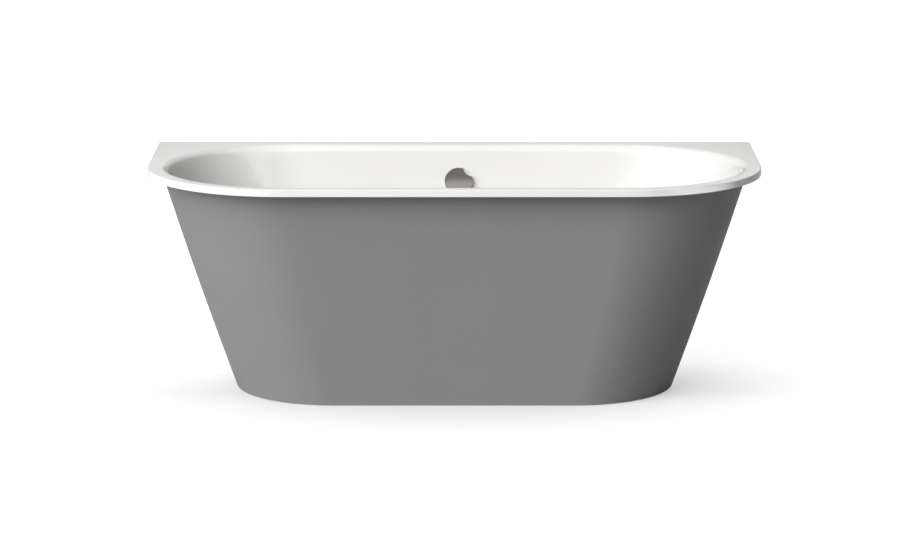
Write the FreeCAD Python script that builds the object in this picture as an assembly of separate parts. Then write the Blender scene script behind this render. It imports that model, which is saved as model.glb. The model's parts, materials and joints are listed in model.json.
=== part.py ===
import FreeCAD, Part
import math
import os

from FreeCAD import Placement, Rotation, Vector

# Back-to-wall bathtub: a pressed and enamelled steel tub, a grey sheet-metal apron,
# a frame on four screw feet, and a waste with a turning overflow knob.
# Millimetres. The origin is on the floor under the middle of the rim,
# +X runs along the tub, +Y points at the wall and +Z points up.

# Overall size
LENGTH = 1650.0
WIDTH = 750.0
HEIGHT = 600.0

# Enamelled steel tub
SHEET = 2.5
RIM_WIDTH = 50.0
RIM_BEND = 30.0
RIM_EDGE_RADIUS = 2.2
LIP_DROP = 18.5
FRONT_CORNER_RADIUS = 375.0
BASIN_DEPTH = 420.0
FLOOR_LENGTH = 1040.0
FLOOR_WIDTH = 430.0
FLOOR_BEND = 95.0

# Sheet-metal apron that hangs from the rim, closed in front and open to the wall
APRON_SHEET = 2.0
APRON_TOP_INSET = 36.0
APRON_TOP_FLANGE = 24.0
APRON_FOOT_FLANGE = 24.0
APRON_FLOOR_GAP = 2.0
APRON_LIP_CLEARANCE = 1.0
APRON_END_BULGE = 4.0
APRON_SEAL = 4.0
APRON_SEAL_MARGIN = 3.0
APRON_SEAL_WIDTH = 11.0
BASE_LENGTH = 1184.0
BASE_MARGIN = 56.0
BASE_CORNER_RADIUS = 270.0

# Bitumen mats that deaden the flat walls of the tub
MAT_LENGTH = 280.0
MAT_WIDTH = 170.0
MAT_THICKNESS = 3.5
MAT_DROP = 250.0
MAT_X = 250.0

# Rails under the tub and their screw feet
RAIL_X = 300.0
RAIL_OVERHANG = 20.0
RAIL_WIDTH = 44.0
RAIL_HEIGHT = 25.0
RAIL_SHEET = 2.5
RAIL_PAD = 3.0
RAIL_PAD_LENGTH = 250.0
FOOT_END_GAP = 23.0
FOOT_PAD_RADIUS = 22.0
FOOT_PAD_HEIGHT = 14.0
FOOT_PAD_TOP_RADIUS = 13.0
SPINDLE_RADIUS = 6.0
SPINDLE_SEAT = 9.0
SPINDLE_SPARE = 34.0
SPINDLE_HEX_FLATS = 14.0
SPINDLE_HEX_HEIGHT = 8.0
FOOT_NUT_FLATS = 19.0
FOOT_NUT_HEIGHT = 10.0
THREAD_CLEARANCE = 0.1

# Stays from the rails to the foot of the apron
STAY_SHEET = 3.0
STAY_TAB = 40.0
STAY_FOOT_LENGTH = 32.0
STAY_FOOT_WIDTH = 18.0
BOLT_RADIUS = 3.0
BOLT_CLEARANCE = 0.2
BOLT_HEAD_FLATS = 10.0
BOLT_HEAD_HEIGHT = 4.0
BOLT_NUT_HEIGHT = 5.0
BOLT_SPARE = 3.0

# Wall anchors that hook behind the back lip
ANCHOR_X = 520.0
ANCHOR_WIDTH = 44.0
ANCHOR_SHEET = 3.0
ANCHOR_HEIGHT = 84.0
ANCHOR_LIP_GAP = 1.0
ANCHOR_PAD = 7.0
ANCHOR_HOOK_HEIGHT = 14.0
ANCHOR_HOLE_RADIUS = 3.2
ANCHOR_HOLE_SPACING = 40.0
ANCHOR_HOLE_DROP = 22.0

# Plastic waste pipes and their slip nuts
WASTE_X = 11.0
PIPE_WALL = 2.5
PIPE_FIT = 0.15
SOCKET_WALL = 3.5
SOCKET_DEPTH = 22.0
SLIP_SEAL = 4.0
SLIP_NUT_WALL = 4.0
SLIP_NUT_SHOULDER = 6.0
SLIP_NUT_GRIP = 14.0
SLIP_NUT_RIBS = 12
SLIP_NUT_GROOVE = 1.8

# Drain in the floor of the tub
DRAIN_Y = 0.0
DRAIN_HOLE_RADIUS = 26.0
DRAIN_RECESS = 5.0
DRAIN_RECESS_RADIUS = 42.0
DRAIN_RECESS_SLOPE = 4.0
DRAIN_SEAT_CLEARANCE = 2.0
DRAIN_TOP_GASKET = 1.5
DRAIN_FLANGE = 2.5
DRAIN_TAIL_WALL = 3.4
DRAIN_TAIL_LENGTH = 20.0
DRAIN_BOTTOM_GASKET = 4.0
DRAIN_GASKET_CLEARANCE = 1.0
DRAIN_BODY_RADIUS = 36.0
DRAIN_BODY_WALL = 3.5
DRAIN_BODY_HEIGHT = 48.0
DRAIN_BODY_FLANGE = 6.0
DRAIN_BODY_LEDGE = 6.0
DRAIN_THROAT = 12.0
SPIDER_HUB_RADIUS = 9.0
SPIDER_HEIGHT = 6.0
SPIDER_ARM = 4.0
SPIDER_ARMS = 3

# Plug and the lever that lifts it
PLUG_RADIUS = 33.0
PLUG_EDGE = 3.0
PLUG_CROWN = 3.5
PLUG_SEAL = 2.0
PLUG_SEAL_WIDTH = 5.0
PLUG_SEAL_GAP = 0.2
PLUG_STEM_RADIUS = 5.0
PLUG_STEM_SEAT = 3.0
PLUG_LIFT = 12.0
RUNNING_CLEARANCE = 0.06
LEVER_ARM = 20.0
LEVER_RISE = 17.0
LEVER_TIP_RADIUS = 3.0
LEVER_BAR = 4.0
LEVER_WIDTH = 6.0
LEVER_HUB_RADIUS = 5.0
LEVER_EYE_RADIUS = 1.6
LEVER_GAP = 0.3
LEVER_FLOOR_GAP = 1.0
LEVER_PIN_RADIUS = 2.0
LEVER_PIN_GRIP = 3.0
PIN_CLEARANCE = 0.02

# Trap and outlet
OUTLET_RADIUS = 20.0
TRAP_SPAN = 70.0
TRAP_BEND = 32.0
TRAP_NUT_GAP = 1.0
TRAP_DROP = 12.0
TRAP_SEAL_DEPTH = 50.0
TRAP_ELBOW = 30.0
TRAP_SOCKET_LEAD = 8.0
OUTLET_WALL_GAP = 35.0
SPIGOT_LENGTH = 50.0
BEAD_WIDTH = 4.0
BEAD_HEIGHT = 2.0
CLEANOUT_RADIUS = 10.0
CLEANOUT_WALL = 3.0
CLEANOUT_BOSS = 5.0
CLEANOUT_SEAL = 2.0
CLEANOUT_CAP = 4.0
CLEANOUT_CAP_LIP = 2.0
CLEANOUT_SLOT = 3.0
CLEANOUT_SLOT_DEPTH = 2.0

# Overflow in the back wall
OVERFLOW_DROP = 99.0
OVERFLOW_HOLE_RADIUS = 26.5
OVERFLOW_GASKET = 4.0
OVERFLOW_GASKET_WIDTH = 9.0
OVERFLOW_FLANGE = 5.0
ELBOW_DEPTH = 36.0
ELBOW_WALL = 3.0
OVERFLOW_PIPE_RADIUS = 16.0
OVERFLOW_PIPE_BEND = 60.0
RETAINER_OVERLAP = 8.0
RETAINER_THICKNESS = 4.0
RETAINER_HUB_RADIUS = 9.0
RETAINER_PORTS = 4
RETAINER_PORT_RADIUS = 7.0
RETAINER_SCREW_RADIUS = 2.0
RETAINER_SCREW_LENGTH = 20.0
RETAINER_SCREW_HEAD = 2.4
RETAINER_SCREW_HEAD_RADIUS = 3.8
SCREW_BOSS_WALL = 3.0
SCREW_BOSS_DEPTH = 10.0

# Turning knob, its spindle and the drum that pulls the cable
KNOB_RADIUS = 39.0
KNOB_STANDOFF = 9.0
KNOB_EDGE = 6.5
KNOB_CROWN = 1.6
KNOB_EDGE_RADIUS = 2.0
KNOB_HUB_RADIUS = 11.0
KNOB_HUB_GAP = 0.6
NOTCH_RADIUS = 27.0
NOTCH_DEPTH = 8.0
NOTCH_ANGLE = 46.0
KNOB_TURN = 90.0
KNOB_SPINDLE_RADIUS = 3.0
KNOB_SPINDLE_SEAT = 4.0
BEARING_LENGTH = 9.0
BEARING_WALL = 4.0
CRANK_RADIUS = 12.0
CRANK_THICKNESS = 5.0
CRANK_CHEEK = 1.2
CRANK_SETBACK = 12.5

# Bowden cable from the drum to the lever
SHEATH_RADIUS = 2.5
WIRE_RADIUS = 0.9
WIRE_CLEARANCE = 0.2
PORT_WALL = 2.5
PORT_LENGTH = 14.0
PORT_SEAT = 10.0
PORT_ANGLE = -45.0
CABLE_FIT = 0.1
CABLE_RUN_X = 59.0
CABLE_TURN_X = 100.0
CABLE_TOP_BEND = 38.0
CABLE_LOW_BEND = 100.0
CABLE_END_BEND = 40.0
CLIP_THICKNESS = 8.0
CLIP_WALL = 4.0
CLIP_COUNT = 2
CLIP_FIRST_DROP = 30.0
CLIP_SPACING = 110.0

# Levels and slopes that follow from the sizes above
FLOOR_Z = HEIGHT - BASIN_DEPTH
UNDERSIDE_Z = FLOOR_Z - SHEET
END_SLOPE = ((LENGTH - FLOOR_LENGTH) / 2 - RIM_WIDTH) / BASIN_DEPTH
SIDE_SLOPE = ((WIDTH - FLOOR_WIDTH) / 2 - RIM_WIDTH) / BASIN_DEPTH
WALL_LEAN = math.degrees(math.atan(SIDE_SLOPE))
LIP_BOTTOM = HEIGHT - LIP_DROP
APRON_TOP = HEIGHT - SHEET - APRON_SEAL
APRON_BACK = WIDTH / 2 - SHEET - APRON_LIP_CLEARANCE
BASE_SETBACK = (WIDTH - FLOOR_WIDTH) / 2 - BASE_MARGIN
RAIL_TOP = UNDERSIDE_Z - RAIL_PAD
RAIL_BOTTOM = RAIL_TOP - RAIL_HEIGHT
RAIL_LENGTH = FLOOR_WIDTH + 2 * RAIL_OVERHANG
FOOT_Y = RAIL_LENGTH / 2 - FOOT_END_GAP


# Small shape helpers

def box(x0, x1, y0, y1, z0, z1):
    return Part.makeBox(x1 - x0, y1 - y0, z1 - z0, Vector(x0, y0, z0))


def rod(radius, start, end):
    return Part.makeCylinder(radius, (end - start).Length, start, end - start)


def upright(radius, z0, z1, x=0.0, y=0.0):
    return rod(radius, Vector(x, y, z0), Vector(x, y, z1))


def ring(outer, inner, z0, z1, x=0.0, y=0.0):
    return upright(outer, z0, z1, x, y).cut(upright(inner, z0, z1, x, y))


def hexagon(flats, z0, z1, x=0.0, y=0.0):
    corner = flats / math.sqrt(3)
    points = [Vector(x + corner * math.cos(math.pi * i / 3), y + corner * math.sin(math.pi * i / 3), z0)
              for i in range(6)]
    return Part.Face(Part.makePolygon(points + points[:1])).extrude(Vector(0, 0, z1 - z0))


def prism(wire, height):
    return Part.Face(wire).extrude(Vector(0, 0, height))


def loft(*wires):
    return Part.makeLoft(list(wires), True, len(wires) == 2)


def join(first, *others):
    return first.fuse(list(others)).removeSplitter()


def mirrored(shape):
    return shape.mirror(Vector(0, 0, 0), Vector(1, 0, 0))


def round_edges(shape, radius, wire):
    """Fillet the edges of a shape that run along a wire."""
    chosen = []
    for edge in shape.Edges:
        middle = Part.Vertex(edge.valueAt((edge.FirstParameter + edge.LastParameter) / 2))
        if wire.distToShape(middle)[0] < SHEET / 100:
            chosen.append(edge)
    return shape.makeFillet(radius, chosen)


def quarter_arc(centre, radius, angle):
    """A quarter circle in plan that starts at an angle in degrees."""
    points = [centre + Vector(radius * math.cos(math.radians(a)), radius * math.sin(math.radians(a)), 0)
              for a in (angle, angle + 45, angle + 90)]
    return Part.Arc(*points).toShape()


def line(start, end):
    return Part.LineSegment(start, end).toShape()


def oval(half_length, half_width, front_radius, z):
    """Two straight sides joined by rounded ends; the back corners take what the front ones leave."""
    back_radius = 2 * half_width - front_radius
    front = Vector(half_length - front_radius, front_radius - half_width, z)
    back = Vector(half_length - back_radius, half_width - back_radius, z)
    front_left = Vector(-front.x, front.y, z)
    back_left = Vector(-back.x, back.y, z)
    drop = Vector(0, front_radius, 0)
    rise = Vector(0, back_radius, 0)
    return Part.Wire([line(front_left - drop, front - drop), quarter_arc(front, front_radius, -90),
                      quarter_arc(back, back_radius, 0), line(back + rise, back_left + rise),
                      quarter_arc(back_left, back_radius, 90), quarter_arc(front_left, front_radius, 180)])


def d_outline(half_length, front, back, radius, z):
    """Square at the back and rounded at the two front corners."""
    left = Vector(-half_length + radius, front + radius, z)
    right = Vector(half_length - radius, front + radius, z)
    side = Vector(radius, 0, 0)
    drop = Vector(0, radius, 0)
    back_left = Vector(-half_length, back, z)
    back_right = Vector(half_length, back, z)
    return Part.Wire([line(back_left, left - side), quarter_arc(left, radius, 180),
                      line(left - drop, right - drop), quarter_arc(right, radius, -90),
                      line(right + side, back_right), line(back_right, back_left)])


def rim_outline(inset, z, back_inset):
    return d_outline(LENGTH / 2 - inset, inset - WIDTH / 2, WIDTH / 2 - back_inset,
                     FRONT_CORNER_RADIUS - inset, z)


def bent_path(points, bends):
    """Straight runs through points, joined by tangent arcs."""
    edges = []
    start = points[0]
    for before, corner, after, radius in zip(points, points[1:], points[2:], bends):
        back = (before - corner).normalize()
        ahead = (after - corner).normalize()
        half = back.getAngle(ahead) / 2
        middle = (back + ahead).normalize()
        enter = corner + back * (radius / math.tan(half))
        leave = corner + ahead * (radius / math.tan(half))
        top = corner + middle * (radius / math.sin(half) - radius)
        edges += [line(start, enter), Part.Arc(enter, top, leave).toShape()]
        start = leave
    edges.append(line(start, points[-1]))
    return Part.Wire(edges)


def swept(path, radius):
    first = path.Edges[0]
    start = first.FirstParameter
    circle = Part.makeCircle(radius, first.valueAt(start), first.tangentAt(start))
    return path.makePipeShell([Part.Wire(circle)], True, False)


# Tub

def basin_outline(z, thickness=0.0):
    """Inside of the basin, or a parallel line outside it; its front corners run beside the rim's."""
    half_length = FLOOR_LENGTH / 2 + (z - FLOOR_Z) * END_SLOPE + thickness * math.hypot(1, END_SLOPE)
    half_width = FLOOR_WIDTH / 2 + (z - FLOOR_Z) * SIDE_SLOPE
    sheet = thickness * math.hypot(1, SIDE_SLOPE)
    front_radius = half_width * (FRONT_CORNER_RADIUS - RIM_WIDTH) / (WIDTH / 2 - RIM_WIDTH)
    return oval(half_length, half_width + sheet, front_radius + sheet, z)


OVERFLOW_Z = HEIGHT - OVERFLOW_DROP
OVERFLOW_Y = FLOOR_WIDTH / 2 + (OVERFLOW_Z - FLOOR_Z) * SIDE_SLOPE

# Frame on the back wall's inner face: X along the tub, Y up the wall, Z into the basin
OVERFLOW_FRAME = Placement(Vector(WASTE_X, OVERFLOW_Y, OVERFLOW_Z),
                           Rotation(Vector(1, 0, 0), 90 - WALL_LEAN))

DRAIN_SEAT_Z = FLOOR_Z - DRAIN_RECESS
DRAIN_UNDERSIDE_Z = DRAIN_SEAT_Z - SHEET


def on_wall(shape):
    placed = shape.copy()
    placed.Placement = OVERFLOW_FRAME.multiply(placed.Placement)
    return placed


def bath_shell():
    rim = prism(rim_outline(0, LIP_BOTTOM, 0), LIP_DROP)
    rim = rim.cut(prism(rim_outline(SHEET, LIP_BOTTOM, SHEET), LIP_DROP - SHEET))
    outer_floor = basin_outline(UNDERSIDE_Z, SHEET)
    outer = loft(outer_floor, basin_outline(HEIGHT - SHEET / 2, SHEET))
    outer = round_edges(outer, FLOOR_BEND + SHEET, outer_floor)
    inner = loft(basin_outline(FLOOR_Z), basin_outline(HEIGHT + SHEET))
    inner = round_edges(inner, FLOOR_BEND, basin_outline(FLOOR_Z))
    shell = join(rim, outer)
    shell = round_edges(shell, RIM_BEND - SHEET, basin_outline(HEIGHT - SHEET, SHEET))
    shell = shell.cut(inner)
    shell = round_edges(shell, RIM_BEND, basin_outline(HEIGHT))
    shell = round_edges(shell, RIM_EDGE_RADIUS, rim_outline(0, HEIGHT, 0))
    dish_bottom = DRAIN_RECESS_RADIUS - DRAIN_RECESS_SLOPE
    boss = Part.makeCone(dish_bottom + SHEET, DRAIN_RECESS_RADIUS + SHEET, DRAIN_RECESS,
                         Vector(WASTE_X, DRAIN_Y, DRAIN_UNDERSIDE_Z))
    dish = Part.makeCone(dish_bottom, DRAIN_RECESS_RADIUS, DRAIN_RECESS,
                         Vector(WASTE_X, DRAIN_Y, DRAIN_SEAT_Z))
    shell = join(shell, boss).cut(dish)
    shell = shell.cut(upright(DRAIN_HOLE_RADIUS, DRAIN_UNDERSIDE_Z, FLOOR_Z, WASTE_X, DRAIN_Y))
    return shell.cut(on_wall(upright(OVERFLOW_HOLE_RADIUS, -2 * SHEET, SHEET)))


def sound_mats(side):
    """Two mats on the outside of a long wall; side is 1 at the back and -1 in front."""
    mats = []
    for x in (-MAT_X, MAT_X):
        mat = Part.makeBox(MAT_LENGTH, MAT_WIDTH, MAT_THICKNESS,
                           Vector(-MAT_LENGTH / 2, -MAT_WIDTH / 2, SHEET))
        z = HEIGHT - MAT_DROP
        y = FLOOR_WIDTH / 2 + (z - FLOOR_Z) * SIDE_SLOPE
        mat.Placement = Placement(Vector(x, -y, z), Rotation(Vector(1, 0, 0), 90 + WALL_LEAN))
        if side > 0:
            mat = mat.mirror(Vector(0, 0, 0), Vector(0, 1, 0))
        mats.append(mat)
    return Part.makeCompound(mats)


# Apron

def apron_outline(z, thickness, back):
    share = z / APRON_TOP
    half_length = BASE_LENGTH / 2 + share * (LENGTH / 2 - APRON_TOP_INSET - BASE_LENGTH / 2)
    half_length += APRON_END_BULGE * 4 * share * (1 - share)
    setback = BASE_SETBACK + share * (APRON_TOP_INSET - BASE_SETBACK)
    radius = BASE_CORNER_RADIUS + share * (FRONT_CORNER_RADIUS - APRON_TOP_INSET - BASE_CORNER_RADIUS)
    return d_outline(half_length - thickness, setback + thickness - WIDTH / 2, back, radius - thickness, z)


def apron_skin(bottom, top, thickness, back):
    return loft(*[apron_outline(z, thickness, back) for z in (bottom, (bottom + top) / 2, top)])


def apron_panel():
    hollow = apron_skin(0, APRON_TOP, APRON_SHEET, WIDTH / 2)
    wall = apron_skin(APRON_FLOOR_GAP, APRON_TOP, 0, APRON_BACK).cut(hollow)
    flange_z = APRON_TOP - APRON_SHEET
    top = rim_outline(APRON_TOP_INSET - APRON_TOP_FLANGE, flange_z, WIDTH / 2 - APRON_BACK)
    top = prism(top, APRON_SHEET)
    foot = prism(apron_outline(APRON_FLOOR_GAP, 0, APRON_BACK), APRON_SHEET)
    foot = foot.cut(prism(apron_outline(APRON_FLOOR_GAP, APRON_FOOT_FLANGE, WIDTH / 2), APRON_SHEET))
    panel = join(wall, top.cut(hollow), foot)
    for side in (-1, 1):
        panel = panel.cut(upright(BOLT_RADIUS + BOLT_CLEARANCE, 0, APRON_FOOT_TOP, side * STUD_X, STUD_Y))
    return panel


def apron_seal():
    outer_inset = APRON_TOP_INSET - APRON_TOP_FLANGE + APRON_SEAL_MARGIN
    outer = rim_outline(outer_inset, APRON_TOP, WIDTH / 2 - APRON_BACK)
    inner = rim_outline(outer_inset + APRON_SEAL_WIDTH, APRON_TOP, 0)
    return prism(outer, APRON_SEAL).cut(prism(inner, APRON_SEAL))


# Rails, feet and stays

SPINDLE_HOLE_RADIUS = SPINDLE_RADIUS + THREAD_CLEARANCE
WEB_TOP = RAIL_BOTTOM + RAIL_SHEET
STAY_X = RAIL_X + RAIL_WIDTH / 2
STAY_BOLT_Y = STAY_TAB / 4 - RAIL_LENGTH / 2
STAY_BOLT_Z = RAIL_BOTTOM + RAIL_HEIGHT / 2
APRON_FOOT_TOP = APRON_FLOOR_GAP + APRON_SHEET
STAY_FOOT_FRONT = BASE_SETBACK - WIDTH / 2 + APRON_FOOT_FLANGE - STAY_FOOT_WIDTH
STUD_X = STAY_X + STAY_SHEET + (STAY_FOOT_LENGTH - STAY_SHEET) / 2
STUD_Y = STAY_FOOT_FRONT + STAY_FOOT_WIDTH / 2


def rail():
    """The right-hand rail: a channel, open on top, with a hole for each foot."""
    half = RAIL_LENGTH / 2
    inside = RAIL_WIDTH / 2 - RAIL_SHEET
    channel = box(RAIL_X - RAIL_WIDTH / 2, STAY_X, -half, half, RAIL_BOTTOM, RAIL_TOP)
    channel = channel.cut(box(RAIL_X - inside, RAIL_X + inside, -half, half, WEB_TOP, RAIL_TOP))
    for y in (-FOOT_Y, FOOT_Y):
        channel = channel.cut(upright(SPINDLE_HOLE_RADIUS, RAIL_BOTTOM, WEB_TOP, RAIL_X, y))
    return channel.cut(stay_bolt_hole())


def rail_pad():
    half = RAIL_PAD_LENGTH / 2
    return box(RAIL_X - RAIL_WIDTH / 2, STAY_X, -half, half, RAIL_TOP, UNDERSIDE_Z)


def foot_spindle(x, y):
    shaft = upright(SPINDLE_RADIUS, FOOT_PAD_HEIGHT - SPINDLE_SEAT, WEB_TOP + SPINDLE_SPARE, x, y)
    grip = hexagon(SPINDLE_HEX_FLATS, FOOT_PAD_HEIGHT, FOOT_PAD_HEIGHT + SPINDLE_HEX_HEIGHT, x, y)
    return join(shaft, grip)


def foot_pad(x, y):
    flat = FOOT_PAD_HEIGHT - SPINDLE_SEAT
    sole = upright(FOOT_PAD_RADIUS, 0, flat, x, y)
    crown = Part.makeCone(FOOT_PAD_RADIUS, FOOT_PAD_TOP_RADIUS, SPINDLE_SEAT, Vector(x, y, flat))
    return join(sole, crown).cut(upright(SPINDLE_RADIUS, flat, FOOT_PAD_HEIGHT, x, y))


def foot_nuts():
    """A nut under and a lock nut over the web of the rail at each foot."""
    nuts = []
    for x in (-RAIL_X, RAIL_X):
        for y in (-FOOT_Y, FOOT_Y):
            for z in (RAIL_BOTTOM - FOOT_NUT_HEIGHT, WEB_TOP):
                nut = hexagon(FOOT_NUT_FLATS, z, z + FOOT_NUT_HEIGHT, x, y)
                nuts.append(nut.cut(upright(SPINDLE_HOLE_RADIUS, z, z + FOOT_NUT_HEIGHT, x, y)))
    return Part.makeCompound(nuts)


def stay_bolt_hole():
    start = Vector(RAIL_X, STAY_BOLT_Y, STAY_BOLT_Z)
    return rod(BOLT_RADIUS + BOLT_CLEARANCE, start, start + Vector(RAIL_WIDTH, 0, 0))


def apron_stay():
    """The right-hand stay, a bent plate bolted to the rail and standing on the apron's foot flange."""
    front = -RAIL_LENGTH / 2
    points = [Vector(STAY_X, front + STAY_TAB, RAIL_TOP), Vector(STAY_X, front + STAY_TAB, RAIL_BOTTOM),
              Vector(STAY_X, front + STAY_TAB / 2, RAIL_BOTTOM),
              Vector(STAY_X, STAY_FOOT_FRONT + STAY_FOOT_WIDTH, APRON_FOOT_TOP),
              Vector(STAY_X, STAY_FOOT_FRONT, APRON_FOOT_TOP), Vector(STAY_X, front, RAIL_TOP)]
    leg = Part.Face(Part.makePolygon(points + points[:1])).extrude(Vector(STAY_SHEET, 0, 0))
    foot = box(STAY_X, STAY_X + STAY_FOOT_LENGTH, STAY_FOOT_FRONT, STAY_FOOT_FRONT + STAY_FOOT_WIDTH,
               APRON_FOOT_TOP, APRON_FOOT_TOP + STAY_SHEET)
    stud_hole = upright(BOLT_RADIUS + BOLT_CLEARANCE, 0, RAIL_BOTTOM, STUD_X, STUD_Y)
    return join(leg, foot).cut(stay_bolt_hole()).cut(stud_hole)


def along_x(shape, x):
    """Turn an upright fastener so that its +Z points along +X from the stay's bolt hole."""
    turned = shape.copy()
    turned.Placement = Placement(Vector(x, STAY_BOLT_Y, STAY_BOLT_Z), Rotation(Vector(0, 1, 0), 90))
    return turned


def pair(shape):
    return Part.makeCompound([shape, mirrored(shape)])


def stay_bolts():
    reach = STAY_SHEET + RAIL_SHEET + BOLT_NUT_HEIGHT + BOLT_SPARE
    head = hexagon(BOLT_HEAD_FLATS, 0, BOLT_HEAD_HEIGHT)
    bolt = join(head, upright(BOLT_RADIUS, -reach, BOLT_HEAD_HEIGHT))
    return pair(along_x(bolt, STAY_X + STAY_SHEET))


def bolt_nut():
    hole = BOLT_RADIUS + THREAD_CLEARANCE
    return hexagon(BOLT_HEAD_FLATS, 0, BOLT_NUT_HEIGHT).cut(upright(hole, 0, BOLT_NUT_HEIGHT))


def stay_nuts():
    inside = along_x(bolt_nut(), STAY_X - RAIL_SHEET - BOLT_NUT_HEIGHT)
    on_foot = bolt_nut().translated(Vector(STUD_X, STUD_Y, APRON_FOOT_TOP + STAY_SHEET))
    return Part.makeCompound([inside, mirrored(inside), on_foot, mirrored(on_foot)])


def apron_studs():
    top = APRON_FOOT_TOP + STAY_SHEET + BOLT_NUT_HEIGHT + BOLT_SPARE
    return pair(upright(BOLT_RADIUS, APRON_FLOOR_GAP, top, STUD_X, STUD_Y))


# Wall anchors

ANCHOR_SHELF = LIP_BOTTOM - ANCHOR_LIP_GAP
ANCHOR_HOOK_Y = WIDTH / 2 - SHEET - ANCHOR_PAD
ANCHOR_HOLES_Z = [ANCHOR_SHELF - ANCHOR_HOLE_DROP, ANCHOR_SHELF - ANCHOR_HOLE_DROP - ANCHOR_HOLE_SPACING]


def wall_anchor():
    left = ANCHOR_X - ANCHOR_WIDTH / 2
    right = ANCHOR_X + ANCHOR_WIDTH / 2
    wall = WIDTH / 2
    hook_front = ANCHOR_HOOK_Y - ANCHOR_SHEET
    hook_top = ANCHOR_SHELF + ANCHOR_HOOK_HEIGHT
    plate = box(left, right, wall - ANCHOR_SHEET, wall, ANCHOR_SHELF - ANCHOR_HEIGHT, ANCHOR_SHELF)
    shelf = box(left, right, hook_front, wall, ANCHOR_SHELF - ANCHOR_SHEET, ANCHOR_SHELF)
    hook = box(left, right, hook_front, ANCHOR_HOOK_Y, ANCHOR_SHELF, hook_top)
    anchor = join(plate, shelf, hook)
    for z in ANCHOR_HOLES_Z:
        start = Vector(ANCHOR_X, wall - ANCHOR_SHEET, z)
        anchor = anchor.cut(rod(ANCHOR_HOLE_RADIUS, start, Vector(ANCHOR_X, wall, z)))
    return anchor


def wall_anchor_pad():
    """Rubber that fills the hook and carries the lip on the shelf."""
    left = ANCHOR_X - ANCHOR_WIDTH / 2
    right = ANCHOR_X + ANCHOR_WIDTH / 2
    hook_top = ANCHOR_SHELF + ANCHOR_HOOK_HEIGHT
    behind = box(left, right, ANCHOR_HOOK_Y, WIDTH / 2 - SHEET, ANCHOR_SHELF, hook_top)
    under = box(left, right, ANCHOR_HOOK_Y, WIDTH / 2, ANCHOR_SHELF, LIP_BOTTOM)
    return join(behind, under)


# Slip joints: a pipe that leaves a socket along +Z from the socket's mouth at the origin

def socket_radius(pipe_radius):
    return pipe_radius + PIPE_FIT + SOCKET_WALL


def slip_seal(pipe_radius):
    return ring(socket_radius(pipe_radius), pipe_radius, 0, SLIP_SEAL)


def slip_nut(pipe_radius):
    inner = socket_radius(pipe_radius) + PIPE_FIT
    outer = inner + SLIP_NUT_WALL
    top = SLIP_SEAL + SLIP_NUT_SHOULDER
    nut = upright(outer, -SLIP_NUT_GRIP, top)
    for i in range(SLIP_NUT_RIBS):
        angle = 2 * math.pi * i / SLIP_NUT_RIBS
        nut = nut.cut(upright(SLIP_NUT_GROOVE, -SLIP_NUT_GRIP, top,
                              outer * math.cos(angle), outer * math.sin(angle)))
    nut = nut.cut(upright(inner, -SLIP_NUT_GRIP, SLIP_SEAL))
    return nut.cut(upright(pipe_radius + PIPE_FIT, SLIP_SEAL, top))


def facing(shape, mouth, direction):
    placed = shape.copy()
    placed.Placement = Placement(mouth, Rotation(Vector(0, 0, 1), direction))
    return placed


UP = Vector(0, 0, 1)
DOWN = Vector(0, 0, -1)
TO_WALL = Vector(0, 1, 0)

# Drain: everything hangs on the seat pressed into the floor of the tub

DRAIN_FLANGE_Z = DRAIN_SEAT_Z + DRAIN_TOP_GASKET
DRAIN_FLANGE_TOP = DRAIN_FLANGE_Z + DRAIN_FLANGE
DRAIN_FLANGE_RADIUS = DRAIN_RECESS_RADIUS - DRAIN_RECESS_SLOPE - DRAIN_SEAT_CLEARANCE
DRAIN_TAIL_RADIUS = DRAIN_HOLE_RADIUS - DRAIN_GASKET_CLEARANCE - DRAIN_SEAT_CLEARANCE
DRAIN_BODY_TOP = DRAIN_UNDERSIDE_Z - DRAIN_BOTTOM_GASKET
DRAIN_BODY_BOTTOM = DRAIN_BODY_TOP - DRAIN_BODY_HEIGHT
DRAIN_CHAMBER_Z = DRAIN_BODY_BOTTOM + DRAIN_BODY_WALL
DRAIN_CHAMBER_RADIUS = DRAIN_BODY_RADIUS - DRAIN_BODY_WALL
DRAIN_THROAT_Z = DRAIN_BODY_TOP - DRAIN_THROAT
STEM_BORE = PLUG_STEM_RADIUS + RUNNING_CLEARANCE
PLUG_Z = DRAIN_FLANGE_TOP + PLUG_SEAL_GAP + PLUG_SEAL
LEVER_HALF_ANGLE = math.degrees(math.asin(PLUG_LIFT / 2 / LEVER_ARM))
LEVER_Z = DRAIN_CHAMBER_Z + LEVER_FLOOR_GAP + LEVER_TIP_RADIUS + PLUG_LIFT / 2
LEVER_X = WASTE_X + LEVER_ARM * (1 + math.cos(math.radians(LEVER_HALF_ANGLE))) / 2
STEM_BOTTOM = LEVER_Z - PLUG_LIFT / 2 + LEVER_TIP_RADIUS + LEVER_GAP
LEVER_PORT_Z = LEVER_Z + LEVER_RISE
INLET_Z = (DRAIN_CHAMBER_Z + DRAIN_THROAT_Z) / 2
INLET_MOUTH_Y = DRAIN_Y + DRAIN_BODY_RADIUS + SOCKET_DEPTH + SLIP_NUT_GRIP / 2
INLET_BOTTOM = INLET_Z - socket_radius(OVERFLOW_PIPE_RADIUS)
TRAP_NUT_TOP = min(DRAIN_BODY_BOTTOM, INLET_BOTTOM) - TRAP_NUT_GAP
SPIGOT_BOTTOM = TRAP_NUT_TOP - SLIP_SEAL - SLIP_NUT_SHOULDER - SOCKET_DEPTH
TRAP_MOUTH_Z = SPIGOT_BOTTOM + SOCKET_DEPTH


def at_drain(radius, z0, z1):
    return upright(radius, z0, z1, WASTE_X, DRAIN_Y)


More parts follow.
